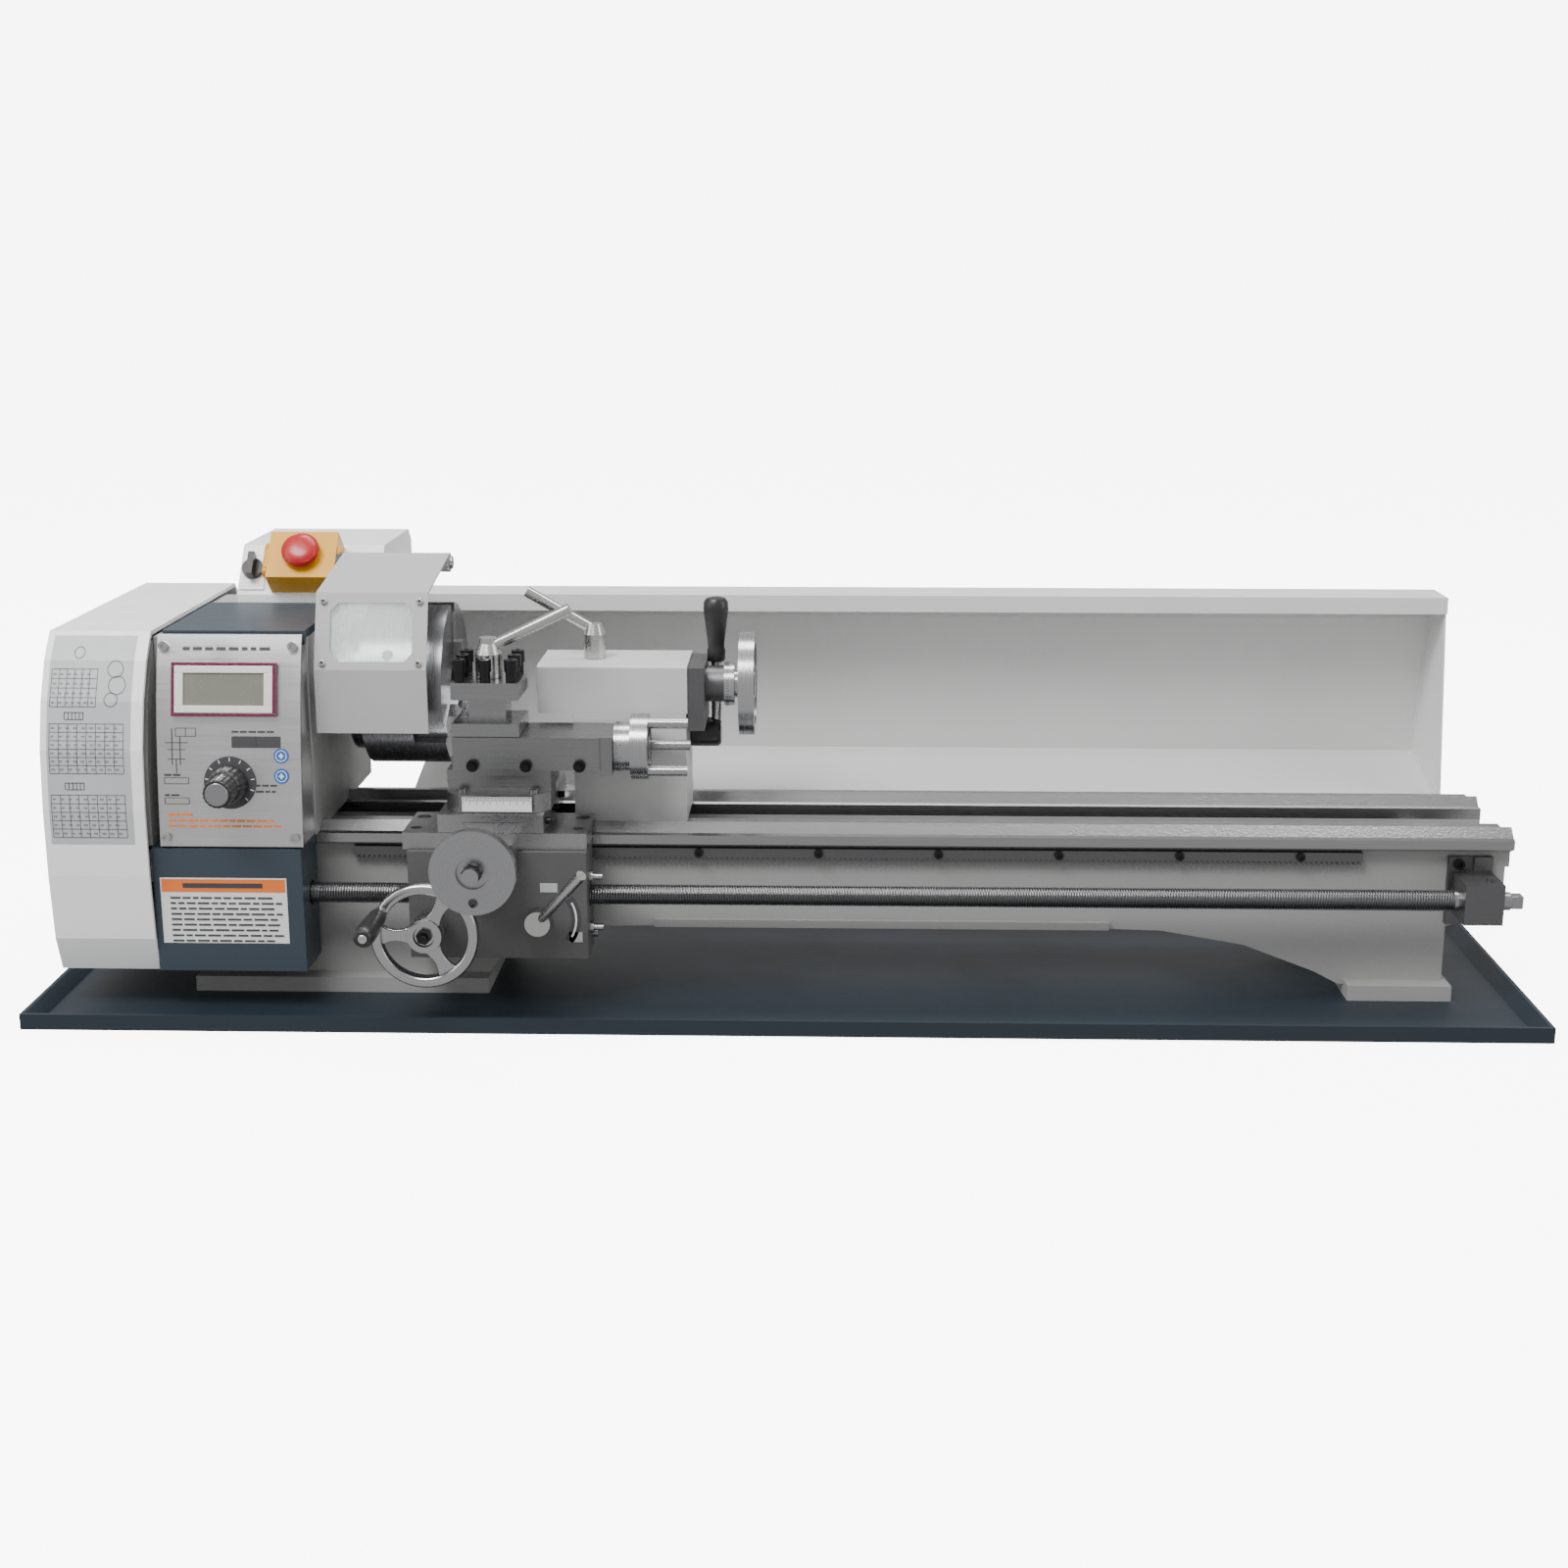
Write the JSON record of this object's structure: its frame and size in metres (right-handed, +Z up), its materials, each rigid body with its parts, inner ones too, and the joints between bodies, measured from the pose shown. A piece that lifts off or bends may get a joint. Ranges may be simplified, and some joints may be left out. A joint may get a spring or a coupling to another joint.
{
  "type": "bench metal lathe",
  "caption": "Variable-speed bench metal lathe with chuck guard, carriage, compound slide, tailstock, splash guard and chip tray.",
  "frame": {"origin": "on the chip tray's underside, under the spindle axis, midway along the tray", "axes": "+X along the bed from headstock to tailstock, +Y to the rear, +Z up"},
  "size_m": [1.13, 0.4109, 0.3469],
  "materials": {
    "tray_paint": "satin",
    "bed_paint": "satin",
    "machined_steel": "ground",
    "black_screws": "black oxide",
    "guard_paint": "satin",
    "dark_iron": "machined",
    "slate_paint": "satin",
    "brushed_panel": "brushed",
    "bright_screws": "plated",
    "display": "gloss",
    "white_paint": "satin",
    "yellow_plastic": "moulded",
    "motor_paint": "satin",
    "belt_rubber": "matt",
    "chuck_steel": "turned",
    "guard_grey": "satin",
    "clear_window": "clear",
    "black_plastic": "moulded",
    "red_plastic": "moulded",
    "green_plastic": "moulded",
    "ground_iron": "ground",
    "apron_paint": "satin",
    "polished_steel": "polished",
    "bronze": "machined",
    "light_grey_paint": "satin"
  },
  "bodies": {
    "frame": {"chip_tray": "tray_paint", "bed_casting": "bed_paint", "feed_rack": "machined_steel", "bed_screws": "black_screws", "rear_splash_guard": "guard_paint", "leadscrew_bracket": "dark_iron", "headstock_casting": "bed_paint", "headstock_top_cover": "slate_paint", "headstock_lower_cover": "slate_paint", "control_panel": "brushed_panel", "panel_screws": "bright_screws", "display_module": "display", "gear_cover": "white_paint", "gear_end_plate": "bed_paint", "electrical_box": "white_paint", "stop_switch_base": "yellow_plastic", "drive_motor": "motor_paint", "drive_belt": "belt_rubber", "guard_hinge_rod": "machined_steel"},
    "spindle": {"spindle": "machined_steel", "spindle_drive_wheels": "machined_steel", "chuck_body": "chuck_steel"},
    "jaw_1": {"chuck_jaw_1": "chuck_steel"},
    "jaw_2": {"chuck_jaw_2": "chuck_steel"},
    "jaw_3": {"chuck_jaw_3": "chuck_steel"},
    "motor_shaft": {"motor_shaft_pulley": "machined_steel"},
    "idler_upper": {"idler_gear_upper": "machined_steel"},
    "idler_lower": {"idler_gear_lower": "machined_steel"},
    "leadscrew": {"leadscrew": "machined_steel"},
    "guard": {"chuck_guard": "guard_grey", "guard_window": "clear_window"},
    "direction_knob": {"direction_knob": "black_plastic"},
    "speed_knob": {"speed_knob": "black_plastic"},
    "stop_lid": {"stop_switch_lid": "yellow_plastic"},
    "mushroom": {"stop_mushroom": "red_plastic"},
    "start_button": {"start_button": "green_plastic"},
    "stop_button": {"stop_button": "red_plastic"},
    "carriage": {"saddle": "ground_iron", "apron": "apron_paint"},
    "carriage_wheel": {"carriage_handwheel": "polished_steel"},
    "crank": {"crank_handle": "black_plastic"},
    "rack_pinion": {"rack_pinion_shaft": "machined_steel"},
    "half_nut_lever": {"half_nut_lever": "polished_steel"},
    "half_nut_upper": {"half_nut_upper": "bronze"},
    "half_nut_lower": {"half_nut_lower": "bronze"},
    "cross_slide": {"cross_slide": "ground_iron"},
    "cross_wheel": {"cross_slide_handwheel": "polished_steel"},
    "compound": {"swivel_base": "ground_iron"},
    "top_slide": {"top_slide": "ground_iron"},
    "top_wheel": {"top_slide_handwheel": "polished_steel"},
    "tool_post": {"tool_post": "ground_iron", "tool_post_screws": "black_screws"},
    "tool_post_lever": {"tool_post_lever": "polished_steel"},
    "tailstock": {"tailstock_base": "light_grey_paint", "tailstock_body": "light_grey_paint", "tailstock_end_plate": "machined_steel"},
    "quill": {"quill": "machined_steel"},
    "tail_wheel": {"tailstock_handwheel": "polished_steel"},
    "quill_lock": {"quill_lock_lever": "polished_steel"},
    "tail_clamp": {"tailstock_clamp_lever": "black_plastic"}
  },
  "joints": [
    {"name": "spindle_spin", "type": "hinge", "parent": "frame", "child": "spindle", "pos_m": [-0.33, 0, 0.233], "axis": [1, 0, 0], "continuous": true},
    {"name": "jaw_1_slide", "type": "slide", "parent": "spindle", "child": "jaw_1", "axis": [0, 0, 1], "range_m": [-0.006, 0.006]},
    {"name": "jaw_2_slide", "type": "slide", "parent": "spindle", "child": "jaw_2", "axis": [0, -0.866, -0.5], "range_m": [-0.006, 0.006]},
    {"name": "jaw_3_slide", "type": "slide", "parent": "spindle", "child": "jaw_3", "axis": [0, 0.866, -0.5], "range_m": [-0.006, 0.006]},
    {"name": "motor_spin", "type": "hinge", "parent": "frame", "child": "motor_shaft", "pos_m": [-0.42, 0.078, 0.172], "axis": [1, 0, 0], "continuous": true},
    {"name": "idler_upper_spin", "type": "hinge", "parent": "frame", "child": "idler_upper", "pos_m": [-0.52, 0, 0.16875], "axis": [1, 0, 0], "continuous": true},
    {"name": "idler_lower_spin", "type": "hinge", "parent": "frame", "child": "idler_lower", "pos_m": [-0.52, -0.04516, 0.12027], "axis": [1, 0, 0], "continuous": true},
    {"name": "leadscrew_spin", "type": "hinge", "parent": "frame", "child": "leadscrew", "pos_m": [0, -0.09, 0.088], "axis": [1, 0, 0], "continuous": true},
    {"name": "guard_hinge", "type": "hinge", "parent": "frame", "child": "guard", "pos_m": [-0.3, 0.036, 0.322], "axis": [-1, 0, 0], "range_deg": [0, 80]},
    {"name": "direction_switch", "type": "hinge", "parent": "frame", "child": "direction_knob", "pos_m": [-0.429, 0.06008, 0.3109], "axis": [0, -0.7682, 0.6402], "range_deg": [-45, 45]},
    {"name": "speed_dial", "type": "hinge", "parent": "frame", "child": "speed_knob", "pos_m": [-0.409, -0.12, 0.179], "axis": [0, 1, 0], "range_deg": [0, 270]},
    {"name": "stop_lid_hinge", "type": "hinge", "parent": "frame", "child": "stop_lid", "pos_m": [-0.415, 0.0482, 0.3221], "axis": [0, -0.6402, -0.7682], "range_deg": [0, 100]},
    {"name": "mushroom_push", "type": "slide", "parent": "stop_lid", "child": "mushroom", "axis": [0, 0.7682, -0.6402], "range_m": [0, 0.003], "stiffness_N_per_m": 300, "springref_m": -0.002},
    {"name": "start_button_push", "type": "slide", "parent": "frame", "child": "start_button", "axis": [0, 0.7682, -0.6402], "range_m": [0, 0.002], "stiffness_N_per_m": 200, "springref_m": -0.002},
    {"name": "stop_button_push", "type": "slide", "parent": "frame", "child": "stop_button", "axis": [0, 0.7682, -0.6402], "range_m": [0, 0.002], "stiffness_N_per_m": 200, "springref_m": -0.002},
    {"name": "carriage_slide", "type": "slide", "parent": "frame", "child": "carriage", "axis": [1, 0, 0], "range_m": [-0.007, 0.01]},
    {"name": "carriage_wheel_spin", "type": "hinge", "parent": "carriage", "child": "carriage_wheel", "pos_m": [-0.262, -0.14, 0.073], "axis": [0, 1, 0], "range_deg": [-400, 400]},
    {"name": "crank_handle_spin", "type": "hinge", "parent": "carriage_wheel", "child": "crank", "pos_m": [-0.2937, -0.18, 0.09049], "axis": [0, 1, 0], "continuous": true},
    {"name": "rack_pinion_spin", "type": "hinge", "parent": "carriage", "child": "rack_pinion", "pos_m": [-0.2534, -0.08, 0.10185], "axis": [0, 1, 0], "range_deg": [-130, 130]},
    {"name": "half_nut_lever_turn", "type": "hinge", "parent": "carriage", "child": "half_nut_lever", "pos_m": [-0.182, -0.11, 0.075], "axis": [0, 1, 0], "range_deg": [0, 70]},
    {"name": "half_nut_upper_slide", "type": "slide", "parent": "carriage", "child": "half_nut_upper", "axis": [0, 0, -1], "range_m": [0, 0.006]},
    {"name": "half_nut_lower_slide", "type": "slide", "parent": "carriage", "child": "half_nut_lower", "axis": [0, 0, 1], "range_m": [0, 0.006]},
    {"name": "cross_slide_feed", "type": "slide", "parent": "carriage", "child": "cross_slide", "axis": [0, 1, 0], "range_m": [-0.06, 0]},
    {"name": "cross_wheel_spin", "type": "hinge", "parent": "carriage", "child": "cross_wheel", "pos_m": [-0.2175, -0.15, 0.134], "axis": [0, 1, 0], "range_deg": [-10900, 10900]},
    {"name": "compound_swivel", "type": "hinge", "parent": "cross_slide", "child": "compound", "pos_m": [-0.213, -0.063, 0.154], "axis": [0, 0, 1], "range_deg": [-60, 0]},
    {"name": "top_slide_feed", "type": "slide", "parent": "compound", "child": "top_slide", "axis": [1, 0, 0], "range_m": [0, 0.035]},
    {"name": "top_wheel_spin", "type": "hinge", "parent": "top_slide", "child": "top_wheel", "pos_m": [-0.12, -0.063, 0.197], "axis": [1, 0, 0], "range_deg": [-8500, 8500]},
    {"name": "tool_post_index", "type": "hinge", "parent": "top_slide", "child": "tool_post", "pos_m": [-0.222, -0.063, 0.23], "axis": [0, 0, 1], "range_deg": [-180, 180]},
    {"name": "tool_post_lever_turn", "type": "hinge", "parent": "top_slide", "child": "tool_post_lever", "pos_m": [-0.222, -0.063, 0.26], "axis": [0, 0, 1], "range_deg": [-90, 0]},
    {"name": "tailstock_slide", "type": "slide", "parent": "frame", "child": "tailstock", "axis": [1, 0, 0], "range_m": [0, 0.58]},
    {"name": "quill_feed", "type": "slide", "parent": "tailstock", "child": "quill", "axis": [-1, 0, 0], "range_m": [0, 0.045]},
    {"name": "tail_wheel_spin", "type": "hinge", "parent": "tailstock", "child": "tail_wheel", "pos_m": [-0.05, 0, 0.233], "axis": [1, 0, 0], "range_deg": [-8200, 8200]},
    {"name": "quill_lock_turn", "type": "hinge", "parent": "tailstock", "child": "quill_lock", "pos_m": [-0.149, 0, 0.26], "axis": [0, 0, 1], "range_deg": [-90, 0]},
    {"name": "tailstock_clamp_turn", "type": "hinge", "parent": "tailstock", "child": "tail_clamp", "pos_m": [-0.07, 0.02, 0.19], "axis": [1, 0, 0], "range_deg": [-60, 0]}
  ],
  "couplings": [
    {"joint": "jaw_2_slide", "follows": "jaw_1_slide", "ratio": 1},
    {"joint": "jaw_3_slide", "follows": "jaw_1_slide", "ratio": 1},
    {"joint": "motor_spin", "follows": "spindle_spin", "ratio": 2.7143},
    {"joint": "idler_upper_spin", "follows": "spindle_spin", "ratio": -0.77778},
    {"joint": "idler_lower_spin", "follows": "spindle_spin", "ratio": 0.93333},
    {"joint": "leadscrew_spin", "follows": "spindle_spin", "ratio": -1.12},
    {"joint": "rack_pinion_spin", "follows": "carriage_slide", "rad_per_m": -133.33},
    {"joint": "carriage_wheel_spin", "follows": "carriage_slide", "rad_per_m": 400},
    {"joint": "half_nut_upper_slide", "follows": "half_nut_lever_turn", "m_per_rad": 0.004911},
    {"joint": "half_nut_lower_slide", "follows": "half_nut_lever_turn", "m_per_rad": 0.004911},
    {"joint": "cross_wheel_spin", "follows": "cross_slide_feed", "rad_per_m": 3141.6},
    {"joint": "top_wheel_spin", "follows": "top_slide_feed", "rad_per_m": -4188.8},
    {"joint": "tail_wheel_spin", "follows": "quill_feed", "rad_per_m": 3141.6}
  ]
}
